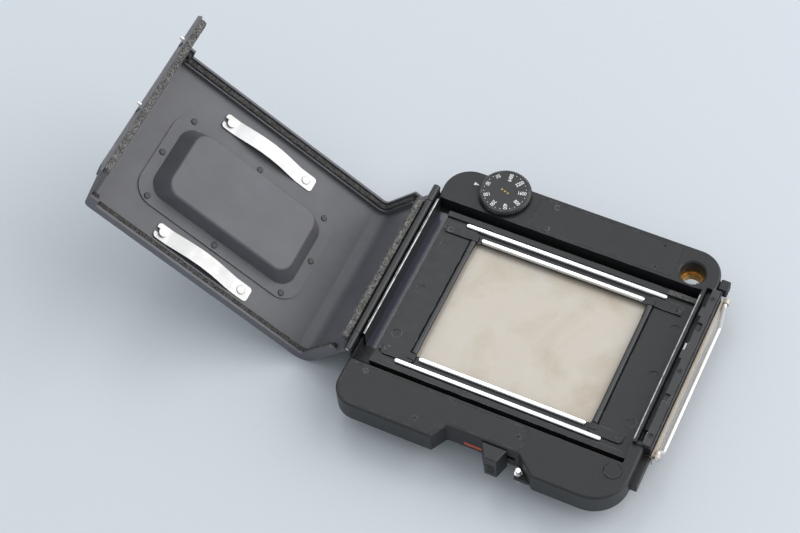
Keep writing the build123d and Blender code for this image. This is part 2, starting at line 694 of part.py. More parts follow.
def roller_bracket(side, end):
    """A small plate in a corner of the gate that clamps one end of a roller axle."""
    inner, outer = ROLLER_X - 1.4, ROLLER_X + BRACKET_L
    low, high = ROLLER_L / 2 + ROLLER_GAP, OUTER_RAIL_Y - RAIL_W / 2 - 0.2
    top = FLOOR_Z + BRACKET_T
    shape = polygon(
        (inner, low),
        (outer, low),
        (outer, high - 1.2),
        (outer - 1.2, high),
        (inner + 1.6, high),
        (inner, low + 2.8),
    )
    plate = slab(shape, FLOOR_Z, top)
    plate += block(inner, ROLLER_X + 1.4, low, low + 2.4, FLOOR_Z, ROLLER_Z + ROLLER_AXLE_R + 0.5)
    plate -= rod(ROLLER_X, ROLLER_Z, ROLLER_AXLE_R, -FAR, FAR)
    if side < 0:
        plate += block(outer, outer + BRACKET_T, low + 0.6, high - 1.2, FLOOR_Z, top + 0.5)
        plate = mirror(plate, about=Plane.YZ)
    if end < 0:
        plate = mirror(plate, about=Plane.XZ)
    return cut_screws(plate, BRACKET_SCREWS, BRACKET_SCREW_TOP, BRACKET_SCREW_L)


# ---- Dark slide ---------------------------------------------------------------------------------


def dark_slide():
    """The sheet that closes the gate, folded down at its outer end, with an ear at each corner."""
    x_out = SLIDE_END_X + SLIDE_T
    sheet = block(SLIDE_LEFT, x_out, SLIDE_LOW_Y, SLIDE_HIGH_Y, SLIDE_Z, SLIDE_Z + SLIDE_T)
    top = PIVOT_Z + EAR_R
    bottom = top - SLIDE_END_H
    sheet += block(SLIDE_END_X, x_out, SLIDE_END_LOW_Y, SLIDE_END_HIGH_Y, bottom, top)
    hem_z = (bottom + SLIDE_HEM[0], bottom + SLIDE_HEM[1])
    sheet += block(x_out, x_out + SLIDE_HEM_T, SLIDE_END_LOW_Y + EAR_W, SLIDE_END_HIGH_Y - EAR_W, *hem_z)
    for y in (SLIDE_END_LOW_Y, SLIDE_END_HIGH_Y - EAR_W):
        sheet += rod(PIVOT_X, PIVOT_Z, EAR_R, y, y + EAR_W)
    return sheet - rod(PIVOT_X, PIVOT_Z, BAIL_R + RUNNING_FIT, -FAR, FAR)


def slide_handle():
    """The wire bail that pulls the dark slide, hanging against the holder's side."""
    x, z = PIVOT_X, PIVOT_Z
    high, low = SLIDE_END_HIGH_Y, SLIDE_END_LOW_Y
    stub_high, stub_low = high - EAR_W - BAIL_EAR_GAP, low + EAR_W + BAIL_EAR_GAP
    route = FilletPolyline(
        (x, high + BAIL_END, z),
        (x, stub_high, z),
        (x + BAIL_X, stub_high - BAIL_HIGH_INSET, z - BAIL_DROP),
        (x + BAIL_X, stub_low + BAIL_LOW_INSET, z - BAIL_DROP),
        (x, stub_low, z),
        (x, low - BAIL_END, z),
        radius=BAIL_BEND_R,
    )
    start = Plane(origin=(x, high + BAIL_END, z), z_dir=(0, -1, 0))
    return sweep(start * Circle(BAIL_R), path=route)


def slide_felt(z0, z1):
    """A strip of felt that keeps light out of the slide's slot."""
    near, far = SLIDE_FELT
    return block(HOUSING_X - far, HOUSING_X - near, SLIDE_LOW_Y, SLIDE_HIGH_Y, z0, z1)


# ---- Cover latch --------------------------------------------------------------------------------


def finger_root_y(pin_y):
    """Where the upright of a latch finger starts, beside its strike pin."""
    return pin_y + STRIKE_PIN_R + LATCH_GAP


def latch_bar():
    """The sliding bar under the latch plate, with a finger over each strike pin of the closed cover."""
    top = LATCH_BAR_Z + LATCH_BAR_T
    left, right = LATCH_SLOT_L + LATCH_GAP, LATCH_CHANNEL_R - LATCH_GAP
    wide_end = HOUSING_HIGH_Y - LATCH_TRAVEL - LATCH_GAP
    bar = block(left, right, LATCH_BAR_LOW_Y, wide_end, LATCH_BAR_Z, top)
    bar += block(left, KNOB_BAR_X, wide_end, KNOB_Y + KNOB_L / 2, LATCH_BAR_Z, top)
    bar += block(left, KNOB_X + KNOB_NECK_L, NECK_LOW_Y, NECK_HIGH_Y, LATCH_BAR_Z, top)
    finger_bottom = STRIKE_PIN_Z + STRIKE_PIN_R + LATCH_GAP
    finger_top = HOUSING_TOP - FINGER_TOP_GAP
    finger_left, finger_right = LATCH_SLOT_R + FINGER_TOP_GAP, FINGER_POCKET_R - LATCH_GAP
    for y in STRIKE_Y:
        root = finger_root_y(y)
        end = root + FINGER_W
        bar += block(finger_left, right, root, end, LATCH_BAR_Z, finger_top)
        bar += block(finger_left, finger_right, y - FINGER_OVERHANG, end, finger_bottom, finger_top)
    return bar


def latch_knob():
    """The ribbed knob on the end of the latch bar."""
    right = KNOB_X + KNOB_OUT
    middle = LATCH_BAR_Z + LATCH_BAR_T / 2
    half_l, half_h = KNOB_L / 2, KNOB_H / 2
    knob = block(KNOB_X, right, KNOB_Y - half_l, KNOB_Y + half_l, middle - half_h, middle + half_h)
    knob = fillet(knob.edges().filter_by(Axis.Z), KNOB_SIDE_R)
    knob = fillet(knob.faces().sort_by(Axis.Z)[-1].edges(), KNOB_TOP_R)
    for step in KNOB_RIBS:
        knob -= post(right + 0.1, KNOB_Y + step, KNOB_RIB_R, 0, FAR)
    neck = (LATCH_BAR_Z, LATCH_BAR_Z + LATCH_BAR_T)
    return knob - block(0, KNOB_X + KNOB_NECK_L, NECK_LOW_Y, NECK_HIGH_Y, *neck)


def latch_plate():
    """The cover strip over the latch bar, notched where the strike pins pass."""
    level = (HOUSING_TOP, HOUSING_TOP + LATCH_PLATE_T)
    low, high = HOUSING_LOW_Y + LATCH_PLATE_INSET, HOUSING_HIGH_Y - LATCH_PLATE_INSET
    plate = block(LATCH_SLOT_R, LATCH_PLATE_R, low, high, *level)
    for tab in LATCH_TABS:
        plate += block(LATCH_SLOT_R - LATCH_TAB_W, LATCH_SLOT_R, *tab, *level)
    for y in STRIKE_Y:
        plate -= block(0, FINGER_POCKET_R, y - STRIKE_NOTCH[0], y + STRIKE_NOTCH[1], *level)
    plate = chamfer(plate.edges().filter_by(Axis.Y).sort_by(Axis.X)[-1], LATCH_PLATE_BEVEL)
    return cut_screws(plate, LATCH_PLATE_SCREWS, level[1], LATCH_SCREW_L)


def latch_spring():
    """The tension spring that pulls the latch bar back."""
    low = LATCH_LOW_Y + SPRING_END_GAP
    length = LATCH_BAR_LOW_Y - LATCH_LOW_Y - 2 * SPRING_END_GAP
    x, z = (LATCH_SLOT_L + LATCH_CHANNEL_R) / 2, LATCH_BAR_Z + LATCH_BAR_T / 2
    helix = Helix(pitch=SPRING_PITCH, height=length - 2 * SPRING_WIRE_R, radius=SPRING_COIL_R)
    section = Plane(origin=helix @ 0, z_dir=helix % 0) * Circle(SPRING_WIRE_R)
    return Pos(x, low + SPRING_WIRE_R, z) * Rot(-90, 0, 0) * sweep(section, path=helix)


# ---- Controls on the wings ----------------------------------------------------------------------


def speed_dial():
    """The knurled film speed dial, open at the top for its number plate."""
    dial = post(DIAL_X, DIAL_Y, DIAL_R, DIAL_BOTTOM, DIAL_TOP)
    dial = chamfer(dial.faces().sort_by(Axis.Z)[-1].edges(), DIAL_BEVEL)
    for step in range(KNURLS):
        turn = radians(360 / KNURLS * step)
        dial -= post(DIAL_X + DIAL_R * cos(turn), DIAL_Y + DIAL_R * sin(turn), KNURL_R, 0, FAR)
    dial -= post(DIAL_X, DIAL_Y, DIAL_FACE_R, DIAL_TOP - DIAL_FACE_DEPTH, FAR)
    return dial - post(DIAL_X, DIAL_Y, DIAL_SPINDLE_R + RUNNING_FIT, 0, DIAL_TOP - DIAL_ROOF_T)


def dial_number_plate():
    """The flat disc in the dial that carries the film speeds."""
    bottom = DIAL_TOP - DIAL_FACE_DEPTH
    return post(DIAL_X, DIAL_Y, DIAL_FACE_R, bottom, bottom + DIAL_FACE_T)


def dial_index():
    """The index mark beside the dial, a small raised pointer."""
    tip = DIAL_X - DIAL_R - INDEX_GAP
    base = tip - INDEX_L
    pointer = polygon((tip, DIAL_Y), (base, DIAL_Y + INDEX_W / 2), (base, DIAL_Y - INDEX_W / 2))
    return slab(pointer, WING_TOP, WING_TOP + INDEX_H)


def coupling_bush():
    """The brass bush at the bottom of the coupling bore."""
    top = FLANGE_H + BUSH_L
    ring = post(COUPLING_X, COUPLING_Y, COUPLING_R, FLANGE_H, top)
    ring -= post(COUPLING_X, COUPLING_Y, BUSH_BORE_R, FLANGE_H, top)
    return ring - post(COUPLING_X, COUPLING_Y, BUSH_BORE_R + BUSH_SEAT, top - BUSH_SEAT, top)


def wing_plug():
    """The round plug in the lower wing."""
    plug = post(PLUG_X, PLUG_Y, PLUG_R, WING_TOP - PLUG_T, WING_TOP + PLUG_RISE)
    return chamfer(plug.faces().sort_by(Axis.Z)[-1].edges(), PLUG_RISE / 2)


def lock_lug():
    """The black lug that locks the holder to the camera; a tongue carries it in the lower wing."""
    y_in = NOTCH_Y - LUG_GAP
    lug = slab(
        polygon((LUG_LEFT, y_in), (LUG_TIP_LEFT, LUG_TIP_Y), (LUG_TIP_RIGHT, LUG_TIP_Y), (LUG_RIGHT, y_in)),
        LUG_BOTTOM,
        WING_TOP,
    )
    lug = chamfer(lug.faces().sort_by(Axis.Z)[-1].edges(), LUG_BEVEL)
    groove_x = (LUG_TIP_LEFT + LUG_GROOVE_INSET, LUG_TIP_RIGHT - LUG_GROOVE_INSET)
    for step in range(LUG_GROOVES):
        z = LUG_BOTTOM + LUG_GROOVE_Z + LUG_GROOVE_PITCH * step
        lug -= block(*groove_x, LUG_TIP_Y, LUG_TIP_Y + LUG_GROOVE_DEPTH, z, z + LUG_GROOVE_H)
    tongue = (TONGUE_Z, TONGUE_Z + TONGUE_T)
    return lug + block(LUG_TIP_LEFT, LUG_TIP_RIGHT, y_in - 0.5, NOTCH_Y + TONGUE_L, *tongue)


def lock_indicator():
    """The orange strip beside the lug that shows when the holder is unlocked."""
    return block(INDICATOR_LEFT, LUG_RIGHT, NOTCH_Y, NOTCH_Y + INDICATOR_T, *INDICATOR_Z)


def interlock_pin():
    """The steel pin that the camera presses when the holder is seated."""
    pin = post(PIN_X, PIN_Y, PIN_R, FLANGE_H - PIN_BELOW, SHELF_TOP + PIN_ABOVE)
    pin += post(PIN_X, PIN_Y, PIN_R + PIN_COLLAR_W, SHELF_TOP, SHELF_TOP + PIN_COLLAR_T)
    return fillet(pin.faces().sort_by(Axis.Z)[0].edges(), PIN_ROUND)


# ---- Hinge --------------------------------------------------------------------------------------


def side_bar(x0, x1, y, z, radius):
    """A round bar along X."""
    return Pos((x0 + x1) / 2, y, z) * Rot(0, 90, 0) * Cylinder(radius, x1 - x0)


def hinge_screw_room(y):
    """The hole that a hinge screw leaves in the hinge leaf and the body's side."""
    tip = BODY_LEFT + SCREW_L + HOLE_FIT
    return side_bar(BODY_LEFT - HINGE_LEAF_T, tip, y, HINGE_SCREW_Z, SCREW_R + HOLE_FIT)


def hinge_screws():
    """Three round-head screws through the body's hinge leaf."""
    face = BODY_LEFT - HINGE_LEAF_T
    screws = []
    for y in HINGE_SCREW_Y:
        head = side_bar(face - SCREW_HEAD_H, face, y, HINGE_SCREW_Z, SCREW_HEAD_R)
        screws.append(head + side_bar(face, BODY_LEFT + SCREW_L, y, HINGE_SCREW_Z, SCREW_R))
    return group(screws)


def body_hinge_leaf():
    """The hinge leaf on the body's side, with a knuckle at each end."""
    face = BODY_LEFT - HINGE_LEAF_T
    low_z = HINGE_SCREW_Z - SCREW_HEAD_R - HINGE_LEAF_EDGE
    leaf = block(face, BODY_LEFT, HINGE_LOW_Y, HINGE_HIGH_Y, low_z, HINGE_Z - HINGE_R - LATCH_GAP)
    for y in (HINGE_LOW_Y, HINGE_HIGH_Y - KNUCKLE_L):
        leaf += rod(HINGE_X, HINGE_Z, HINGE_R, y, y + KNUCKLE_L)
        leaf += block(face, BODY_LEFT, y, y + KNUCKLE_L, low_z, HINGE_Z)
    leaf -= rod(HINGE_X, HINGE_Z, HINGE_PIN_R, -FAR, FAR)
    for y in HINGE_SCREW_Y:
        leaf -= hinge_screw_room(y)
    return leaf


def hinge_pin():
    """The long steel pin of the cover hinge."""
    return rod(HINGE_X, HINGE_Z, HINGE_PIN_R, HINGE_LOW_Y - HINGE_PIN_END, HINGE_HIGH_Y + HINGE_PIN_END)


def cover_hinge_leaf():
    """The leaf inside the cover's hinge wall, drawn closed, whose long knuckle turns on the pin."""
    low = HINGE_LOW_Y + KNUCKLE_L + KNUCKLE_GAP
    high = HINGE_HIGH_Y - KNUCKLE_L - KNUCKLE_GAP
    foot, top = WALL_START[1], LEAF_TOP
    shape = polygon(
        (wall_inner_x(foot) - COVER_T, HINGE_R * 0.6),
        (wall_inner_x(foot) + LEAF_T, HINGE_R * 0.6),
        (wall_inner_x(foot) + LEAF_T, foot),
        (wall_inner_x(top) + LEAF_T, top),
        (wall_inner_x(top), top),
        (wall_inner_x(foot), foot),
        (wall_inner_x(foot) - COVER_T, foot),
    )
    leaf = across(shape, low, high) + rod(0, 0, HINGE_R, low, high)
    return leaf - rod(0, 0, HINGE_PIN_R + RUNNING_FIT, -FAR, FAR)


# ---- Back cover, drawn closed about its hinge axis ----------------------------------------------


def wall_inner_x(z):
    """Inner face of the hinge wall at a height above the hinge axis."""
    return WALL_START[0] + COVER_T * sqrt(1 + HINGE_SLOPE**2) + HINGE_SLOPE * (z - WALL_START[1])


def end_wall_x(z):
    """Outer face of the end wall at a height above the hinge axis."""
    return END_WALL_X - END_SLOPE * (z - END_WALL_Z)


def end_wall_inner_x(z):
    """Inner face of the end wall at a height above the hinge axis."""
    return end_wall_x(z) - COVER_T * sqrt(1 + END_SLOPE**2)


def cover_profile(inset):
    """The cover's channel shape, closed well below its walls, moved inwards by inset."""
    depth = 20.0
    points = [
        (WALL_START[0] - HINGE_SLOPE * (depth + WALL_START[1]), -depth),
        (END_WALL_X + END_SLOPE * (depth + END_WALL_Z), -depth),
        (PANEL_RIGHT, COVER_RISE),
        (WALL_START[0] + HINGE_WALL_LEAN, COVER_RISE),
    ]
    shape = outline(points, [0, 0, END_BEND_R, BEND_R])
    return offset(shape, amount=-inset) if inset else shape


def below(z, x0, x1):
    """Everything lower than z between two values of X, to trim a profile."""
    return Pos((x0 + x1) / 2, z - 30) * Rectangle(x1 - x0, 60)


def band(inner, outer, hinge_z, end_z):
    """A strip of the channel shape between two insets, trimmed at its ends."""
    strip = cover_profile(outer) - cover_profile(inner)
    strip -= below(hinge_z, -20, 50)
    return strip - below(end_z, 50, 140)


def back_cover():
    """The folded sheet cover: hinge wall, panel and end wall, with a lip along each long side."""
    cover = across(band(COVER_T, 0, WALL_START[1], END_WALL_Z), -COVER_HALF_Y, COVER_HALF_Y)
    lip = band(LIP_H, 0, LIP_ENDS[0], COVER_RISE - LIP_ENDS[1])
    inner_lip = band(COVER_T + INNER_LIP_H, COVER_T / 2, INNER_LIP_ENDS[0], COVER_RISE - INNER_LIP_ENDS[1])
    seal_y = COVER_HALF_Y - LIP_T - SEAL_W
    for side in (-1, 1):
        cover += across(lip, *sorted((side * (COVER_HALF_Y - LIP_T), side * COVER_HALF_Y)))
        cover += across(inner_lip, *sorted((side * (seal_y - INNER_LIP_T), side * seal_y)))
    for x, y in PAN_RIVETS:
        cover -= rivet_room(PAN_X + x, PAN_Y + y)
    for side in (-1, 1):
        y = PAN_Y + side * SPRING_SPACING
        cover -= rivet_room(SPRING_RIVET_X, y) + rivet_room(SPRING_STUD_X, y)
    return cover


def side_seal(side):
    """The foam strip in the channel along one long side of the cover."""
    strip = band(COVER_T + SEAL_H, COVER_T, SEAL_ENDS[0], COVER_RISE - SEAL_ENDS[1])
    edge = COVER_HALF_Y - LIP_T
    return across(strip, *sorted((side * edge, side * (edge - SEAL_W))))


def hinge_seal():
    """The foam strip on the cover's hinge leaf that closes over the body's hinge-side wall."""
    foot = WALL_START[1]
    low, high = LEFT_WALL_TOP + SEAL_GAP - HINGE_Z, foot + HINGE_SEAL_H
    beside_knuckle = HINGE_R + SEAL_GAP
    half_y = COVER_HALF_Y - LIP_T - SEAL_W - INNER_LIP_T
    strip = polygon(
        (beside_knuckle, low),
        (HINGE_SEAL_R, low),
        (HINGE_SEAL_R, high),
        (wall_inner_x(high) + LEAF_T, high),
        (wall_inner_x(foot) + LEAF_T, foot),
        (beside_knuckle, foot),
    )
    return across(strip, -half_y, half_y)


def end_seal():
    """The foam strip inside the end wall that closes over the body's latch-side wall."""
    low, high = RIGHT_WALL_TOP + SEAL_GAP - HINGE_Z, END_SEAL_TOP
    strip = polygon(
        (end_wall_inner_x(low) - END_SEAL_W, low),
        (end_wall_inner_x(low), low),
        (end_wall_inner_x(high), high),
        (end_wall_inner_x(high) - END_SEAL_W, high),
    )
    return across(strip, -COVER_HALF_Y + END_INSET, COVER_HALF_Y - END_INSET)


def strike_plate():
    """The strip outside the end wall, with a tab down to each strike pin."""
    low, high = STRIKE_LOW, STRIKE_HIGH
    strip = polygon(
        (end_wall_x(low), low),
        (end_wall_x(low) + STRIKE_T, low),
        (end_wall_x(high) + STRIKE_T, high),
        (end_wall_x(high), high),
    )
    plate = across(strip, -COVER_HALF_Y + END_INSET, COVER_HALF_Y - END_INSET)
    pin_z = STRIKE_PIN_Z - HINGE_Z
    tab_z = (pin_z - STRIKE_PIN_R - STRIKE_TAB_EDGE, low + STRIKE_TAB_ROOT)
    x = end_wall_x(low)
    for y in STRIKE_Y:
        plate += block(x, x + STRIKE_T, y - STRIKE_TAB_HALF, y + STRIKE_TAB_HALF, *tab_z)
        plate -= side_bar(x - 1, x + STRIKE_T + 1, y, pin_z, STRIKE_STEM_R)
    return plate


def strike_pins():
    """The two steel pins that the latch fingers hold down."""
    x = end_wall_x(STRIKE_LOW)
    z = STRIKE_PIN_Z - HINGE_Z
    pins = []
    for y in STRIKE_Y:
        pin = side_bar(x + STRIKE_T, x + STRIKE_T + STRIKE_PIN_L, y, z, STRIKE_PIN_R)
        pins.append(pin + side_bar(x, x + STRIKE_T, y, z, STRIKE_STEM_R))
    return group(pins)


def pan_shape(size, corner, z):
    """One level of the raised pan."""
    return Pos(PAN_X, PAN_Y, z) * RectangleRounded(size[0], size[1], corner)


def clearance_pan():
    """The raised pan riveted to the inside of the cover, hollow under its sloping walls."""
    crown = PANEL_Z - PAN_H
    flange = Pos(0, 0, PANEL_Z - PAN_T) * extrude(pan_shape(PAN_FLANGE, PAN_FLANGE_R, 0), amount=PAN_T)
    dome = loft([pan_shape(PAN_BASE, PAN_BASE_R, PANEL_Z - PAN_T), pan_shape(PAN_TOP, PAN_TOP_R, crown)])
    dome = fillet(dome.faces().sort_by(Axis.Z)[0].edges(), PAN_ROUND)
    hollow_base = (PAN_BASE[0] - 2 * PAN_T, PAN_BASE[1] - 2 * PAN_T)
    hollow_top = (PAN_TOP[0] - 2 * PAN_T, PAN_TOP[1] - 2 * PAN_T)
    mouth = pan_shape(hollow_base, PAN_BASE_R - PAN_T, PANEL_Z)
    hollow = loft([mouth, pan_shape(hollow_top, PAN_TOP_R - PAN_T, crown + PAN_T)])
    pan = flange + dome - hollow
    for x, y in PAN_RIVETS:
        pan -= rivet_room(PAN_X + x, PAN_Y + y)
    return pan


def rivet_room(x, y):
    """The hole that a rivet's shank leaves in the cover and what it holds there."""
    return post(x, y, RIVET_SHANK_R + HOLE_FIT, 0, COVER_RISE)


def rivet(x, y, radius, under):
    """A rivet whose low round head sits under a surface and whose shank ends level with the cover."""
    head = post(x, y, radius, under - RIVET_H, under)
    head = fillet(head.faces().sort_by(Axis.Z)[0].edges(), RIVET_H * 0.8)
    return head + post(x, y, RIVET_SHANK_R, under, COVER_RISE)


def pan_rivets():
    """The eight rivets round the pan's flange."""
    return group([rivet(PAN_X + x, PAN_Y + y, RIVET_R, PANEL_Z - PAN_T) for x, y in PAN_RIVETS])


def spring_profile():
    """The bowed strip seen from its side."""
    tip_l, tip_r = SPRING_RIVET_X - SPRING_ENDS[0], SPRING_STUD_X + SPRING_ENDS[1]
    flat_l, flat_r = SPRING_RIVET_X + SPRING_FLATS[0], SPRING_STUD_X - SPRING_FLATS[1]
    middle = (SPRING_RIVET_X + SPRING_STUD_X) / 2
    top = [(tip_l, 0), (flat_l, 0), (middle, SPRING_BOW), (flat_r, SPRING_LIFT), (tip_r, SPRING_LIFT)]
    upper = [(x, PANEL_Z - drop) for x, drop in top]
    lower = [(x, PANEL_Z - drop - SPRING_T) for x, drop in reversed(top)]
    bends = [0, SPRING_KINK_R, SPRING_BOW_R, SPRING_KINK_R, 0]
    return outline(upper + lower, bends + bends)


def leaf_spring(side):
    """A bowed steel strip, riveted at one end and forked round a stud at the other."""
    y = PAN_Y + side * SPRING_SPACING
    strip = across(spring_profile(), y - SPRING_W / 2, y + SPRING_W / 2)
    strip = fillet(strip.edges().filter_by(Axis.Z), SPRING_CORNER_R)
    strip -= rivet_room(SPRING_RIVET_X, y)
    strip -= post(SPRING_STUD_X, y, FORK_W / 2, 0, FAR)
    return strip - block(SPRING_STUD_X, FAR, y - FORK_W / 2, y + FORK_W / 2, 0, FAR)


def spring_rivets():
    """The rivet at the fixed end of each leaf spring."""
    rows = (PAN_Y - SPRING_SPACING, PAN_Y + SPRING_SPACING)
    return group([rivet(SPRING_RIVET_X, y, SPRING_RIVET_R, PANEL_Z - SPRING_T) for y in rows])


def spring_studs():
    """The headed stud that each leaf spring's fork slides under."""
    studs = []
    for y in (PAN_Y - SPRING_SPACING, PAN_Y + SPRING_SPACING):
        stud = post(SPRING_STUD_X, y, STUD_R, PANEL_Z - STUD_HEAD[0], PANEL_Z)
        stud += post(SPRING_STUD_X, y, STUD_HEAD_R, PANEL_Z - STUD_HEAD[1], PANEL_Z - STUD_HEAD[0])
        studs.append(stud + post(SPRING_STUD_X, y, RIVET_SHANK_R, PANEL_Z, COVER_RISE))
    return group(studs)


# ---- Everything, by node ------------------------------------------------------------------------


def fixed_nodes():
    """The pieces that belong to the body and don't move."""
    outer_top = FILM_Z + OUTER_RAIL_RISE
    ridge_top = FLOOR_Z + RIDGE_RISE
    return {
        "body_casting": body_casting(),
        "camera_flange": camera_flange(),
        "flange_screws": flange_screws(),
        "gate_plate": gate_plate(),
        "inner_rail_upper": film_rail(0, INNER_RAIL_Y, INNER_RAIL_L, FILM_Z),
        "inner_rail_lower": film_rail(0, -INNER_RAIL_Y, INNER_RAIL_L, FILM_Z),
        "outer_rail_upper": film_rail(OUTER_RAIL_X, OUTER_RAIL_Y, OUTER_RAIL_L, outer_top),
        "outer_rail_lower": film_rail(OUTER_RAIL_X, -OUTER_RAIL_Y, OUTER_RAIL_L, outer_top),
        "left_roller_axle": roller_axle(-1),
        "right_roller_axle": roller_axle(1),
        "upper_left_bracket": roller_bracket(-1, 1),
        "lower_left_bracket": roller_bracket(-1, -1),
        "upper_right_bracket": roller_bracket(1, 1),
        "lower_right_bracket": roller_bracket(1, -1),
        "bracket_screws": screw_set(BRACKET_SCREWS, BRACKET_SCREW_TOP, BRACKET_SCREW_L),
        "upper_wing_plate": cut_screws(
            slab(upper_plate_shape(0), PLATE_BOTTOM, WING_TOP), UPPER_PLATE_SCREWS, WING_TOP
        ),
        "upper_plate_screws": screw_set(UPPER_PLATE_SCREWS, WING_TOP),
        "lower_wing_plate": cut_screws(
            slab(lower_plate_shape(0), PLATE_BOTTOM, WING_TOP), LOWER_PLATE_SCREWS, WING_TOP
        ),
        "lower_plate_screws": screw_set(LOWER_PLATE_SCREWS, WING_TOP),
        "hinge_side_wall": block(
            BAY_LEFT, BAY_LEFT + SHEET_WALL_T, SHEET_WALL_LOW_Y, RIDGE_OUT_Y, STEP_Z, LEFT_WALL_TOP
        ),
        "upper_slide_felt": slide_felt(SLIDE_Z + SLIDE_T, SLIDE_ROOF_Z),
        "lower_slide_felt": slide_felt(SLIDE_SLOT_Z, SLIDE_Z),
        "latch_plate": latch_plate(),
        "latch_plate_screws": screw_set(LATCH_PLATE_SCREWS, HOUSING_TOP + LATCH_PLATE_T, LATCH_SCREW_L),
        "latch_spring": latch_spring(),
        "dial_index": dial_index(),
        "coupling_bush": coupling_bush(),
        "wing_plug": wing_plug(),
        "lock_indicator": lock_indicator(),
        "ridge_felt": block(
            BAY_RIGHT - RIDGE_FELT_L, BAY_RIGHT, RIDGE_IN_Y, RIDGE_OUT_Y, ridge_top, ridge_top + FELT_T
        ),
        "body_hinge_leaf": body_hinge_leaf(),
        "hinge_screws": hinge_screws(),
        "hinge_pin": hinge_pin(),
    }


def moving_nodes():
    """The pieces that move on the body, apart from the cover."""
    return {
        "left_guide_roller": guide_roller(-1),
        "right_guide_roller": guide_roller(1),
        "dark_slide": dark_slide(),
        "slide_handle": slide_handle(),
        "latch_bar": latch_bar(),
        "latch_knob": latch_knob(),
        "speed_dial": speed_dial(),
        "dial_number_plate": dial_number_plate(),
        "lock_lug": lock_lug(),
        "interlock_pin": interlock_pin(),
    }


def cover_nodes():
    """The pieces that swing with the cover, drawn closed."""
    return {
        "back_cover": back_cover(),
        "cover_hinge_leaf": cover_hinge_leaf(),
        "upper_side_seal": side_seal(1),
        "lower_side_seal": side_seal(-1),
        "hinge_seal": hinge_seal(),
        "end_seal": end_seal(),
        "strike_plate": strike_plate(),
        "strike_pins": strike_pins(),
        "clearance_pan": clearance_pan(),
        "pan_rivets": pan_rivets(),
        "upper_leaf_spring": leaf_spring(1),
        "lower_leaf_spring": leaf_spring(-1),
        "spring_rivets": spring_rivets(),
        "spring_studs": spring_studs(),
    }


def main():
    """Write one STEP file for each node."""
    os.makedirs("parts", exist_ok=True)
    nodes = fixed_nodes() | moving_nodes()
    for name, shape in cover_nodes().items():
        nodes[name] = COVER_AT * shape
    for name, shape in nodes.items():
        export_step(shape, f"parts/{name}.step")


main()
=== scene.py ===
# The looks of the roll film holder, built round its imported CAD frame. Lengths are in metres.

import json
from math import cos, radians, sin

import bmesh
import bpy
from mathutils import Matrix, Vector, noise


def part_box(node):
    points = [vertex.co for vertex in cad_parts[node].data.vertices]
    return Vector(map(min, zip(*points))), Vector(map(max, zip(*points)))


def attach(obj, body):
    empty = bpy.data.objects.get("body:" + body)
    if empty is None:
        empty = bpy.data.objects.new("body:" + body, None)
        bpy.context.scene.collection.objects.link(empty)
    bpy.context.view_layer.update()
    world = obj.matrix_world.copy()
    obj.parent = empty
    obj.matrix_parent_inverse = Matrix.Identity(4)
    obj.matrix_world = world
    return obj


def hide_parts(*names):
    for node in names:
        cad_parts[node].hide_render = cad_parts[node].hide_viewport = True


MM = 0.001


# ---- Photograph's camera ------------------------------------------------------------------------

CAMERA_AZIMUTH = 30.624
CAMERA_ELEVATION = 57.495
CAMERA_ROLL = -6.184
CAMERA_DISTANCE = 0.80037
CAMERA_TARGET = Vector((-0.058144, 0.005298, 0.018))
CAMERA_LENS = 92.72
SENSOR_WIDTH = 36


def add_camera():
    """The camera where the photographer stood."""
    azimuth, elevation, roll = map(radians, (CAMERA_AZIMUTH, CAMERA_ELEVATION, CAMERA_ROLL))
    back = Vector((sin(azimuth) * cos(elevation), -cos(azimuth) * cos(elevation), sin(elevation)))
    level = Vector((0, 0, 1)).cross(back).normalized()
    upright = back.cross(level)
    right = cos(roll) * level + sin(roll) * upright
    up = cos(roll) * upright - sin(roll) * level
    camera = bpy.data.objects.new("camera", bpy.data.cameras.new("camera"))
    camera.data.lens = CAMERA_LENS
    camera.data.sensor_width = SENSOR_WIDTH
    camera.data.clip_start = 0.01
    turn = Matrix((right, up, back)).transposed().to_4x4()
    camera.matrix_world = Matrix.Translation(CAMERA_TARGET + back * CAMERA_DISTANCE) @ turn
    bpy.context.scene.collection.objects.link(camera)
    bpy.context.scene.camera = camera


# ---- Shader graphs ------------------------------------------------------------------------------

BEVEL_SAMPLES = 6
EDGE_TURN = 0.02  # the least turn of the normal that counts as an edge, as 1 minus its cosine


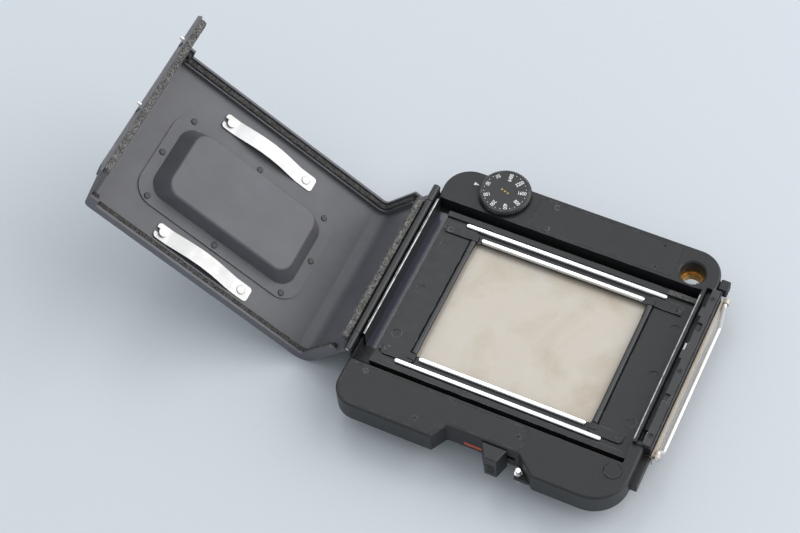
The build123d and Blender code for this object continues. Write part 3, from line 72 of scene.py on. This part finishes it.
class Graph:
    """A material under construction: short calls that add nodes and link them."""

    def __init__(self, name):
        self.material = bpy.data.materials.new(name)
        self.material.use_nodes = True
        self.nodes = self.material.node_tree.nodes
        self.links = self.material.node_tree.links
        self.shader = self.nodes["Principled BSDF"]
        self.position = self.add("ShaderNodeTexCoord").outputs["Object"]

    def add(self, kind, **values):
        """A node, with some of its properties set."""
        node = self.nodes.new(kind)
        for key, value in values.items():
            setattr(node, key, value)
        return node

    def set(self, socket, value):
        """Link or set one input of a node."""
        if isinstance(value, bpy.types.NodeSocket):
            self.links.new(value, socket)
        else:
            socket.default_value = value

    def surface(self, **values):
        """Inputs of the shader; underscores stand for spaces."""
        for key, value in values.items():
            self.set(self.shader.inputs[key.replace("_", " ")], value)

    def scaled(self, factors):
        """The position, stretched along each axis."""
        node = self.add("ShaderNodeMapping")
        self.set(node.inputs["Vector"], self.position)
        node.inputs["Scale"].default_value = factors
        return node.outputs["Vector"]

    def noise(self, scale, detail=3.0, roughness=0.55, vector=None, distortion=0.0):
        """Fractal noise between 0 and 1."""
        node = self.add("ShaderNodeTexNoise")
        self.set(node.inputs["Vector"], vector or self.position)
        node.inputs["Scale"].default_value = scale
        node.inputs["Detail"].default_value = detail
        node.inputs["Roughness"].default_value = roughness
        node.inputs["Distortion"].default_value = distortion
        return node.outputs["Fac"]

    def cells(self, scale):
        """Distance to the nearest of many scattered points."""
        node = self.add("ShaderNodeTexVoronoi")
        self.set(node.inputs["Vector"], self.position)
        node.inputs["Scale"].default_value = scale
        return node.outputs["Distance"]

    def fit(self, value, low, high, to_low=0.0, to_high=1.0):
        """A value rescaled from one range to another, and clamped."""
        node = self.add("ShaderNodeMapRange")
        self.set(node.inputs["Value"], value)
        node.inputs["From Min"].default_value = low
        node.inputs["From Max"].default_value = high
        node.inputs["To Min"].default_value = to_low
        node.inputs["To Max"].default_value = to_high
        return node.outputs["Result"]

    def math(self, operation, a, b=0.0):
        """One sum on two values."""
        node = self.add("ShaderNodeMath", operation=operation)
        self.set(node.inputs[0], a)
        self.set(node.inputs[1], b)
        return node.outputs[0]

    def mix(self, factor, a, b):
        """A blend of two colours."""
        node = self.add("ShaderNodeMix", data_type="RGBA")
        self.set(node.inputs["Factor"], factor)
        self.set(node.inputs["A"], a)
        self.set(node.inputs["B"], b)
        return node.outputs["Result"]

    def edges(self, radius):
        """1 along sharp edges, 0 on flat stretches."""
        bevel = self.add("ShaderNodeBevel", samples=BEVEL_SAMPLES)
        bevel.inputs["Radius"].default_value = radius
        flat = self.add("ShaderNodeNewGeometry").outputs["Normal"]
        dot = self.add("ShaderNodeVectorMath", operation="DOT_PRODUCT")
        self.links.new(bevel.outputs["Normal"], dot.inputs[0])
        self.links.new(flat, dot.inputs[1])
        return self.fit(dot.outputs["Value"], 1 - EDGE_TURN, 1 - 6 * EDGE_TURN)

    def bump(self, height, distance, strength):
        """A normal from a height, where a height of 1 stands for a distance in metres."""
        node = self.add("ShaderNodeBump")
        self.set(node.inputs["Height"], height)
        node.inputs["Distance"].default_value = distance
        node.inputs["Strength"].default_value = strength
        return node.outputs["Normal"]


def grey(value, tint=(1.0, 1.0, 1.0)):
    """A grey with a slight tint, as a colour with alpha."""
    return (value * tint[0], value * tint[1], value * tint[2], 1.0)


# ---- Materials ----------------------------------------------------------------------------------

COOL = (0.97, 1.0, 1.06)
# a painted bluish reflection for the glossy channel beside the hinge-side wall
CHANNEL_REFLECTION_BLUE = (0.035, 0.038, 0.06, 1)
WEAR_R = 0.2 * MM  # how far from an edge the enamel wears
LATCH_WALL_X = 53.2 * MM  # the inner face of the latch-side wall
LATCH_WALL_TOP = 22.1 * MM
RIM_W = 0.45 * MM
RIM_DEPTH = 0.2 * MM
ALONG_X = (0.05, 1, 1)  # squeezes noise into lines along X


def black_enamel(name, base=0.012, rough=0.45, wear=0.35, tint=COOL, polish_and_painted_reflection=None, worn_and_highlit_rim=None):
    """Satin black enamel: fine grain, faint dust, and bare metal where edges rub.

    The first mask builder marks stretches that are smoother and carry a painted bluish reflection; the
    second marks rims shown as bare metal, partly wear and partly a painted highlight."""
    g = Graph(name)
    cloud = g.noise(60, detail=5)
    tone = g.fit(cloud, 0.3, 0.7, base * 0.92, base * 1.1)
    dark = g.add("ShaderNodeCombineColor")
    for socket, share in zip(dark.inputs, tint):
        g.set(socket, g.math("MULTIPLY", tone, share))
    dust = g.fit(g.cells(700), 0.035, 0.0)
    scatter = g.fit(g.noise(150, detail=1), 0.6, 0.68)
    specks = g.math("MULTIPLY", g.math("MULTIPLY", dust, scatter), 0.3)
    painted = g.mix(specks, dark.outputs["Color"], grey(0.3))
    roughness = g.fit(g.noise(300, detail=4), 0.3, 0.7, rough - 0.02, rough + 0.03)
    if polish_and_painted_reflection:
        smooth = polish_and_painted_reflection(g)
        # the channel's bluer colour is a painted reflection
        painted = g.mix(smooth, painted, CHANNEL_REFLECTION_BLUE)
        roughness = g.math("MULTIPLY", roughness, g.fit(smooth, 0, 1, 1.0, 0.45))
    rubbed = g.math("MULTIPLY", g.edges(WEAR_R), g.fit(g.noise(260, detail=4), 0.46, 0.66))
    bare = g.math("MULTIPLY", rubbed, wear)
    # rims in bare metal: partly wear, partly a painted highlight along bright edges
    if worn_and_highlit_rim:
        patchy = g.fit(g.noise(400, detail=3), 0.3, 0.6, 0.45, 0.95)
        bare = g.math("MAXIMUM", bare, g.math("MULTIPLY", worn_and_highlit_rim(g), patchy))
    g.surface(
        Base_Color=g.mix(bare, painted, grey(0.5)),
        Metallic=g.math("MULTIPLY", bare, 0.9),
        Roughness=roughness,
        Normal=g.bump(g.noise(9000, detail=2), 0.00001, 0.6),
    )
    return g.material


def inside(g, low, high):
    """1 where the position lies between two corners."""
    split = g.add("ShaderNodeSeparateXYZ")
    g.set(split.inputs[0], g.position)
    result = 1.0
    for axis, lo, hi in zip("XYZ", low, high):
        value = split.outputs[axis]
        over = g.math("GREATER_THAN", value, lo)
        between = g.math("MULTIPLY", over, g.math("LESS_THAN", value, hi))
        result = g.math("MULTIPLY", between, result)
    return result


def channel_mask(g):
    """The smooth channel beside the hinge-side wall, which gets a painted bluish reflection."""
    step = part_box("gate_plate")[0].x
    low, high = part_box("hinge_side_wall")
    return inside(g, (low.x, low.y, 0.0), (step, high.y, low.z + MM))


def latch_wall_rim(g):
    """The inner top edge of the latch-side wall, shown as bare metal: partly wear where the closing cover
    rubs, partly a painted highlight along the edge.
    """
    wall_low, wall_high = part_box("hinge_side_wall")
    low = (LATCH_WALL_X, wall_low.y, LATCH_WALL_TOP - RIM_DEPTH)
    return inside(g, low, (LATCH_WALL_X + RIM_W, wall_high.y, LATCH_WALL_TOP + MM))


def hinge_wall_rim(g):
    """The top edge of the hinge-side wall, shown as bare metal: partly wear, partly a painted highlight
    along the edge.
    """
    low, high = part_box("hinge_side_wall")
    start = (high.x - RIM_W, low.y, high.z - RIM_DEPTH)
    return inside(g, start, (high.x + MM, high.y, high.z + MM))


def polished_steel(name, tone=0.9, rough=0.14, along=(1, 1, 1), metal=1.0):
    """Polished steel with faint draw lines along its length."""
    g = Graph(name)
    lines = g.noise(2500, detail=2, vector=g.scaled(along))
    smudge = g.noise(120, detail=4)
    g.surface(
        Base_Color=g.mix(g.fit(smudge, 0.35, 0.7), grey(tone), grey(tone * 0.9, (1.0, 0.99, 0.96))),
        Metallic=metal,
        Roughness=g.fit(smudge, 0.3, 0.7, rough, rough + 0.1),
        Normal=g.bump(lines, 0.0000015, 0.4),
    )
    return g.material


def slide_steel(name):
    """Dull rolled stainless sheet, warm, with faint brown stains and rolling lines."""
    g = Graph(name)
    lines = g.noise(2500, detail=3, vector=g.scaled((0.04, 1, 1)))
    stain = g.noise(28, detail=6, roughness=0.6, distortion=0.6)
    blot = g.noise(75, detail=4)
    warm = g.mix(g.fit(stain, 0.45, 0.66, 0.0, 0.9), (0.56, 0.51, 0.44, 1), (0.47, 0.40, 0.31, 1))
    pale = g.mix(g.fit(blot, 0.5, 0.75, 0.0, 0.5), warm, (0.60, 0.57, 0.52, 1))
    g.surface(
        Base_Color=pale,
        Metallic=0.35,
        Roughness=g.fit(lines, 0.3, 0.7, 0.45, 0.56),
        Normal=g.bump(lines, 0.000003, 0.4),
    )
    return g.material


def foam(name, dark, pale, scale=1500):
    """Open-cell foam or matted pile: pale walls round dark pores."""
    g = Graph(name)
    pore = g.cells(scale)
    clump = g.noise(scale * 0.35, detail=4, roughness=0.7)
    speck = g.math("MULTIPLY", g.fit(pore, 0.15, 0.6), g.fit(clump, 0.3, 0.65, 0.25, 1.0))
    g.surface(
        Base_Color=g.mix(speck, grey(dark), grey(pale, (1.0, 0.97, 0.92))),
        Roughness=1.0,
        Normal=g.bump(g.math("ADD", pore, clump), 0.0002, 1.0),
    )
    return g.material


def brass(name):
    """Turned brass, dull in its hollows."""
    g = Graph(name)
    tarnish = g.noise(400, detail=4)
    g.surface(
        Base_Color=g.mix(g.fit(tarnish, 0.35, 0.7), (0.70, 0.42, 0.14, 1), (0.40, 0.22, 0.07, 1)),
        Metallic=1.0,
        Roughness=g.fit(tarnish, 0.3, 0.7, 0.25, 0.45),
    )
    return g.material


def plain_paint(name, color, rough=0.45):
    """Brushed-on marking paint with small brush ridges."""
    g = Graph(name)
    worn = g.fit(g.noise(900, detail=4), 0.55, 0.75, 0.0, 0.5)
    g.surface(
        Base_Color=g.mix(worn, (*color, 1), (*(c * 0.6 for c in color), 1)),
        Roughness=g.fit(worn, 0, 0.5, rough, rough + 0.2),
        Normal=g.bump(g.noise(3000, detail=3), 0.00001, 0.5),
    )
    return g.material


def studio_floor(name):
    """A pale blue-grey sweep."""
    g = Graph(name)
    g.surface(
        Base_Color=g.mix(g.noise(3, detail=2), (0.58, 0.615, 0.645, 1), (0.60, 0.635, 0.665, 1)),
        Roughness=0.75,
        Normal=g.bump(g.noise(900, detail=3), 0.00002, 0.3),
    )
    return g.material


def dress(nodes, material):
    """Give CAD nodes a material."""
    for name in nodes:
        mesh = frame["nodes"][name].data
        mesh.materials.clear()
        mesh.materials.append(material)


def dress_cad_nodes():
    """A procedural material for every CAD node."""
    # the casting's enamel carries a painted bluish reflection in the channel, and a latch-side rim that
    # is partly worn and partly a painted highlight
    cast = black_enamel("cast_enamel", polish_and_painted_reflection=channel_mask, worn_and_highlit_rim=latch_wall_rim)
    dress(["body_casting", "camera_flange"], cast)
    dress(["wing_plug"], black_enamel("plug_enamel", wear=0.8))
    dress(["upper_wing_plate", "lower_wing_plate"], black_enamel("plate_enamel", base=0.016, rough=0.48))
    # the cover's paler, slightly bluer grey is partly the paint's own tone and partly a painted sheen of
    # light on its inner face
    cover = black_enamel("cover_enamel_and_sheen", base=0.105, rough=0.48, tint=(0.98, 0.98, 1.08))
    dress(["back_cover", "clearance_pan"], cover)
    dress(["strike_plate"], black_enamel("strike_enamel", base=0.09, rough=0.45, wear=0.9))
    brackets = [f"{row}_{side}_bracket" for row in ("upper", "lower") for side in ("left", "right")]
    dress(["gate_plate", *brackets], black_enamel("gate_enamel", base=0.012, rough=0.38, wear=0.6))
    dress(["latch_plate"], black_enamel("latch_enamel", base=0.035, rough=0.4, wear=0.9))
    dress(["body_hinge_leaf", "cover_hinge_leaf"], black_enamel("hinge_enamel", rough=0.28, wear=0.5))
    # the hinge-side wall's top rim is partly worn and partly a painted highlight
    dress(["hinge_side_wall"], black_enamel("wall_enamel", rough=0.3, wear=1.0, worn_and_highlit_rim=hinge_wall_rim))
    screws = [n for n in frame["nodes"] if n.endswith("_screws") or n in ("pan_rivets", "latch_bar")]
    dress(screws, black_enamel("screw_black", base=0.018, rough=0.35, wear=0.7))
    dress(["speed_dial"], black_enamel("dial_enamel", base=0.015, rough=0.35, wear=0.8))
    dress(["dial_number_plate"], black_enamel("dial_face", base=0.028, rough=0.5, wear=0.0))
    dress(["lock_lug", "latch_knob"], black_enamel("moulded_black", base=0.012, rough=0.38, wear=0.3))
    dress(["left_guide_roller", "right_guide_roller"], black_enamel("roller_black", base=0.02, rough=0.2))
    rails = ["inner_rail_upper", "inner_rail_lower", "outer_rail_upper", "outer_rail_lower"]
    dress(rails, polished_steel("rail_steel", along=ALONG_X))
    dress(["slide_handle"], polished_steel("wire_steel", tone=0.86, rough=0.24, metal=0.8))
    springs = ["upper_leaf_spring", "lower_leaf_spring", "spring_rivets", "spring_studs"]
    dress(springs, polished_steel("spring_steel", tone=0.6, rough=0.42, along=ALONG_X, metal=0.7))
    pins = ["strike_pins", "interlock_pin", "left_roller_axle", "right_roller_axle"]
    pins += ["hinge_pin", "latch_spring"]
    dress(pins, polished_steel("pin_steel", tone=0.75, rough=0.2))
    dress(["dark_slide"], slide_steel("slide_steel"))
    dress(["coupling_bush"], brass("bush_brass"))
    dress(["lock_indicator"], plain_paint("orange_paint", (0.55, 0.07, 0.02)))
    dress(["dial_index"], plain_paint("white_paint", (0.7, 0.7, 0.68)))


# ---- Foam and felt ------------------------------------------------------------------------------

SAG_SCALE = 120
FOAM_VOXEL, FOAM_DEPTH, FOAM_GRAIN = 0.45 * MM, 0.28 * MM, 900
END_VOXEL, END_DEPTH, END_GRAIN = 0.4 * MM, 0.25 * MM, 1100
FELT_VOXEL, FELT_DEPTH, FELT_GRAIN = 0.1 * MM, 0.04 * MM, 2500
RIDGE_VOXEL, RIDGE_DEPTH, RIDGE_GRAIN = 0.12 * MM, 0.06 * MM, 2200


def roughened(node, name, voxel, depth, grain):
    """A soft copy of a CAD solid: remeshed finely and pitted with small hollows."""
    source = frame["nodes"][node]
    mesh = source.data.copy()
    piece = bpy.data.objects.new(name, mesh)
    bpy.context.scene.collection.objects.link(piece)
    remesh = piece.modifiers.new("voxels", "REMESH")
    remesh.mode = "VOXEL"
    remesh.voxel_size = voxel
    depsgraph = bpy.context.evaluated_depsgraph_get()
    fine = bpy.data.meshes.new_from_object(piece.evaluated_get(depsgraph))
    piece.modifiers.clear()
    piece.data = fine
    normals = [v.normal.copy() for v in fine.vertices]
    for vertex, normal in zip(fine.vertices, normals):
        hollow = noise.noise(vertex.co * grain) + 0.5 * noise.noise(vertex.co * grain * 2.7)
        sag = 0.5 + 0.5 * noise.noise(vertex.co * SAG_SCALE)
        vertex.co -= normal * depth * (max(hollow, 0) + 0.35 * sag)
    fine.materials.clear()
    for polygon in fine.polygons:
        polygon.use_smooth = True
    return piece


def add_soft_pieces():
    """Foam seals and felts in place of their CAD solids."""
    seal = foam("seal_foam", 0.006, 0.10)
    pale_seal = foam("end_seal_foam", 0.012, 0.22)
    felt = foam("grey_felt", 0.02, 0.16, scale=2600)
    side = ("foam", "cover", FOAM_VOXEL, FOAM_DEPTH, FOAM_GRAIN)
    end = ("foam", "cover", END_VOXEL, END_DEPTH, END_GRAIN)
    slide = ("felt", "holder_body", FELT_VOXEL, FELT_DEPTH, FELT_GRAIN)
    ridge = ("felt", "holder_body", RIDGE_VOXEL, RIDGE_DEPTH, RIDGE_GRAIN)
    jobs = [
        ("upper_side_seal", "upper_side_foam", seal, side),
        ("lower_side_seal", "lower_side_foam", seal, side),
        ("hinge_seal", "hinge_foam", pale_seal, end),
        ("end_seal", "end_foam", pale_seal, end),
        ("upper_slide_felt", "upper_slide_pile", felt, slide),
        ("lower_slide_felt", "lower_slide_pile", felt, slide),
        ("ridge_felt", "ridge_pile", felt, ridge),
    ]
    for node, name, material, (slot, body, voxel, depth, grain) in jobs:
        piece = roughened(node, name, voxel, depth, grain)
        piece.data.materials.append(material)
        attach(piece, body)
        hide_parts(node)


# ---- Dial markings ------------------------------------------------------------------------------

FILM_SPEEDS = (25, 50, 100, 200, 400, 800, 1600, 3200, 6400)
FIRST_SPEED_ANGLE = -226.6
SPEED_STEP = 40.0
SPEED_OUTER_R = 8.6 * MM
DOT_RING_R = 8.45 * MM
DOT_R = 0.17 * MM
MARK_T = 0.03 * MM
FIGURE_SIZE = 2.3 * MM
FIGURE_SQUEEZE = 0.8
CENTRE_DOT_R = 0.42 * MM
CENTRE_DOTS = (-1.5, 0.0, 1.5)


def mesh_piece(name, bm, material, body):
    """A finished mesh from a bmesh, riding on a body."""
    mesh = bpy.data.meshes.new(name)
    bm.to_mesh(mesh)
    bm.free()
    piece = bpy.data.objects.new(name, mesh)
    bpy.context.scene.collection.objects.link(piece)
    mesh.materials.append(material)
    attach(piece, body)
    return piece


def add_text(bm, text, turn, base):
    """Flat raised figures that end at the dial's outer radius, turned about the base point."""
    curve = bpy.data.curves.new("figures", "FONT")
    curve.body = text
    curve.size = FIGURE_SIZE
    curve.align_x = "RIGHT"
    curve.align_y = "CENTER"
    curve.extrude = MARK_T / 2
    curve.resolution_u = 3
    curve.offset = FIGURE_SIZE * 0.012
    holder = bpy.data.objects.new("figures", curve)
    bpy.context.scene.collection.objects.link(holder)
    depsgraph = bpy.context.evaluated_depsgraph_get()
    mesh = bpy.data.meshes.new_from_object(holder.evaluated_get(depsgraph))
    place = Matrix.Translation(base) @ Matrix.Rotation(radians(turn), 4, "Z")
    slim = Matrix.Diagonal((FIGURE_SQUEEZE, 1, 1, 1))
    mesh.transform(place @ Matrix.Translation((SPEED_OUTER_R, 0, 0)) @ slim)
    bm.from_mesh(mesh)
    bpy.data.objects.remove(holder)
    bpy.data.meshes.remove(mesh)


def add_disc(bm, centre, radius, sides=20):
    """A mark's closed disc with its lower face's centre at a point."""
    place = Matrix.Translation(centre + Vector((0, 0, MARK_T / 2)))
    bmesh.ops.create_cone(
        bm, cap_ends=True, segments=sides, radius1=radius, radius2=radius, depth=MARK_T, matrix=place
    )


def add_dial_marks():
    """Film speeds and click dots in white, and a generic mark in the middle."""
    low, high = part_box("dial_number_plate")
    base = Vector(((low.x + high.x) / 2, (low.y + high.y) / 2, high.z))
    white = plain_paint("figure_paint", (0.78, 0.78, 0.76))
    yellow = plain_paint("yellow_paint", (0.42, 0.33, 0.03))
    figures = bmesh.new()
    dots = bmesh.new()
    for index, speed in enumerate(FILM_SPEEDS):
        turn = FIRST_SPEED_ANGLE + SPEED_STEP * index
        add_text(figures, str(speed), turn, base + Vector((0, 0, MARK_T / 2)))
        if speed != FILM_SPEEDS[-1]:
            for part in (1 / 3, 2 / 3):
                angle = radians(turn + SPEED_STEP * part)
                outward = Vector((cos(angle), sin(angle), 0))
                add_disc(dots, base + DOT_RING_R * outward, DOT_R)
    mesh_piece("dial_figures", figures, white, "dial")
    mesh_piece("dial_dots", dots, white, "dial")
    mark = bmesh.new()
    for offset in CENTRE_DOTS:
        add_disc(mark, base + Vector((offset * 0.95, -offset * 0.3, 0)) * MM, CENTRE_DOT_R, sides=28)
    mesh_piece("dial_centre_mark", mark, yellow, "dial")


# ---- Small fittings -----------------------------------------------------------------------------

# the caps' outline in mm: distance in from the wire's end, radius
CAP_PROFILE = ((0.25, 0.6), (-0.2, 1.15), (-0.75, 1.4), (-1.0, 1.4), (-1.0, 0.9))
LIP_INSET = 0.5 * MM
LIP_W = 0.9 * MM
LIP_LOW_Y = 12.7 * MM
LIP_HIGH_Y = 16.5 * MM  # with the latch drawn, a longer lip would cut into the closed cover's strike
LIP_DROP = 1.2 * MM
LIP_BEVEL = 0.15 * MM


def lathe(bm, profile, centre, sides=28):
    """A solid turned about an axis along Y: profile holds (distance along Y, radius) pairs."""
    rings = []
    for y, radius in profile:
        ring = []
        for step in range(sides):
            angle = radians(360 / sides * step)
            ring.append(bm.verts.new(centre + Vector((radius * cos(angle), y, radius * sin(angle)))))
        rings.append(ring)
    for near, far in zip(rings, rings[1:]):
        for step in range(sides):
            after = (step + 1) % sides
            bm.faces.new((near[step], near[after], far[after], far[step]))
    bm.faces.new(rings[0][::-1])
    bm.faces.new(rings[-1])
    bmesh.ops.recalc_face_normals(bm, faces=bm.faces)
    for face in bm.faces:
        face.smooth = len(face.verts) == 4


def add_handle_caps():
    """The round caps pressed on the ends of the handle's wire."""
    low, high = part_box("slide_handle")
    pivot = joint_place("handle_swing")
    steel = polished_steel("cap_steel", tone=0.8, rough=0.15)
    for name, end, outward in (("lower_handle_cap", low.y, 1), ("upper_handle_cap", high.y, -1)):
        bm = bmesh.new()
        profile = [(-outward * y * MM, radius * MM) for y, radius in CAP_PROFILE]
        lathe(bm, profile, Vector((pivot.x, end, pivot.z)))
        mesh_piece(name, bm, steel, "handle")


def joint_place(name):
    """A point on a joint's axis."""
    return Vector(next(j["pos_m"] for j in frame["joints"] if j["name"] == name))


def box_shape(bm, low, high, bevel):
    """A block with rounded edges between two corners."""
    made = bmesh.ops.create_cube(bm, size=1)["verts"]
    size = high - low
    place = Matrix.Translation((low + high) / 2) @ Matrix.Diagonal((*size, 1))
    bmesh.ops.transform(bm, matrix=place, verts=made)
    edges = list({edge for vert in made for edge in vert.link_edges})
    bmesh.ops.bevel(bm, geom=edges, offset=bevel, segments=3, profile=0.6, affect="EDGES")


def add_latch_catch():
    """The bright worn lip of the latch bar that shows in the slot beside the cover's strike."""
    bar_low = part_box("latch_bar")[0]
    left = bar_low.x + LIP_INSET
    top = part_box("latch_plate")[0].z - LIP_DROP
    bm = bmesh.new()
    low = Vector((left, LIP_LOW_Y, bar_low.z + MM))
    box_shape(bm, low, Vector((left + LIP_W, LIP_HIGH_Y, top)), LIP_BEVEL)
    steel = polished_steel("lip_steel", tone=0.6, rough=0.3)
    mesh_piece("latch_lip", bm, steel, "latch")


# ---- Stage --------------------------------------------------------------------------------------

FLOOR_HALF = 3.0
ROOM_COLOR = (0.89, 0.94, 1.0, 1)
ROOM_STRENGTH = 0.68
# name, place, target, size, power, colour
SOFT_BOXES = (
    ("key", (1.24, 0.83, 1.05), (-0.05, 0, 0), 2.2, 32, (1.0, 0.985, 0.97)),
    ("fill", (-1.2, 0.35, 1.05), (-0.05, 0, 0), 1.8, 5, (0.97, 0.985, 1.0)),
    ("overhead", (-0.6, 0.9, 1.7), (0, 0, 0), 0.6, 3.0, (1.0, 1.0, 1.0)),
)


def add_floor():
    """The sweep that the holder lies on."""
    mesh = bpy.data.meshes.new("floor")
    corners = [(x * FLOOR_HALF, y * FLOOR_HALF, 0) for x, y in ((-1, -1), (1, -1), (1, 1), (-1, 1))]
    mesh.from_pydata(corners, [], [(0, 1, 2, 3)])
    floor = bpy.data.objects.new("floor", mesh)
    bpy.context.scene.collection.objects.link(floor)
    mesh.materials.append(studio_floor("studio_floor"))


def add_area_light(name, place, target, size, power, color):
    """A square soft box that faces a point."""
    data = bpy.data.lights.new(name, "AREA")
    data.shape = "SQUARE"
    data.size = size
    data.energy = power
    data.color = color
    light = bpy.data.objects.new(name, data)
    light.location = place
    light.rotation_euler = (Vector(target) - Vector(place)).to_track_quat("-Z", "Y").to_euler()
    bpy.context.scene.collection.objects.link(light)


def add_lights():
    """A large soft box on each side, a small one overhead, and a pale room."""
    for soft_box in SOFT_BOXES:
        add_area_light(*soft_box)
    world = bpy.data.worlds.new("room")
    bpy.context.scene.world = world
    world.use_nodes = True
    background = world.node_tree.nodes["Background"]
    background.inputs["Color"].default_value = ROOM_COLOR
    background.inputs["Strength"].default_value = ROOM_STRENGTH


# ---- Scene --------------------------------------------------------------------------------------

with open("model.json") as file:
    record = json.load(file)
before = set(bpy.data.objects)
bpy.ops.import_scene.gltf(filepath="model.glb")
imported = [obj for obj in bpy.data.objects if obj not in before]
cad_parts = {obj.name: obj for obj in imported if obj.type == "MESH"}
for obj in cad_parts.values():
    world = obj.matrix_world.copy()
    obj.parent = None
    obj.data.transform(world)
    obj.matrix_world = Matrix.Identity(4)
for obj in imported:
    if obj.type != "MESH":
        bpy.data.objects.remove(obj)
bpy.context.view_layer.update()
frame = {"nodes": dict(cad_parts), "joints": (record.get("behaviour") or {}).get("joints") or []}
bpy.context.scene.view_settings.view_transform = "Standard"
add_camera()
add_floor()
add_lights()
dress_cad_nodes()
add_soft_pieces()
add_dial_marks()
add_handle_caps()
add_latch_catch()
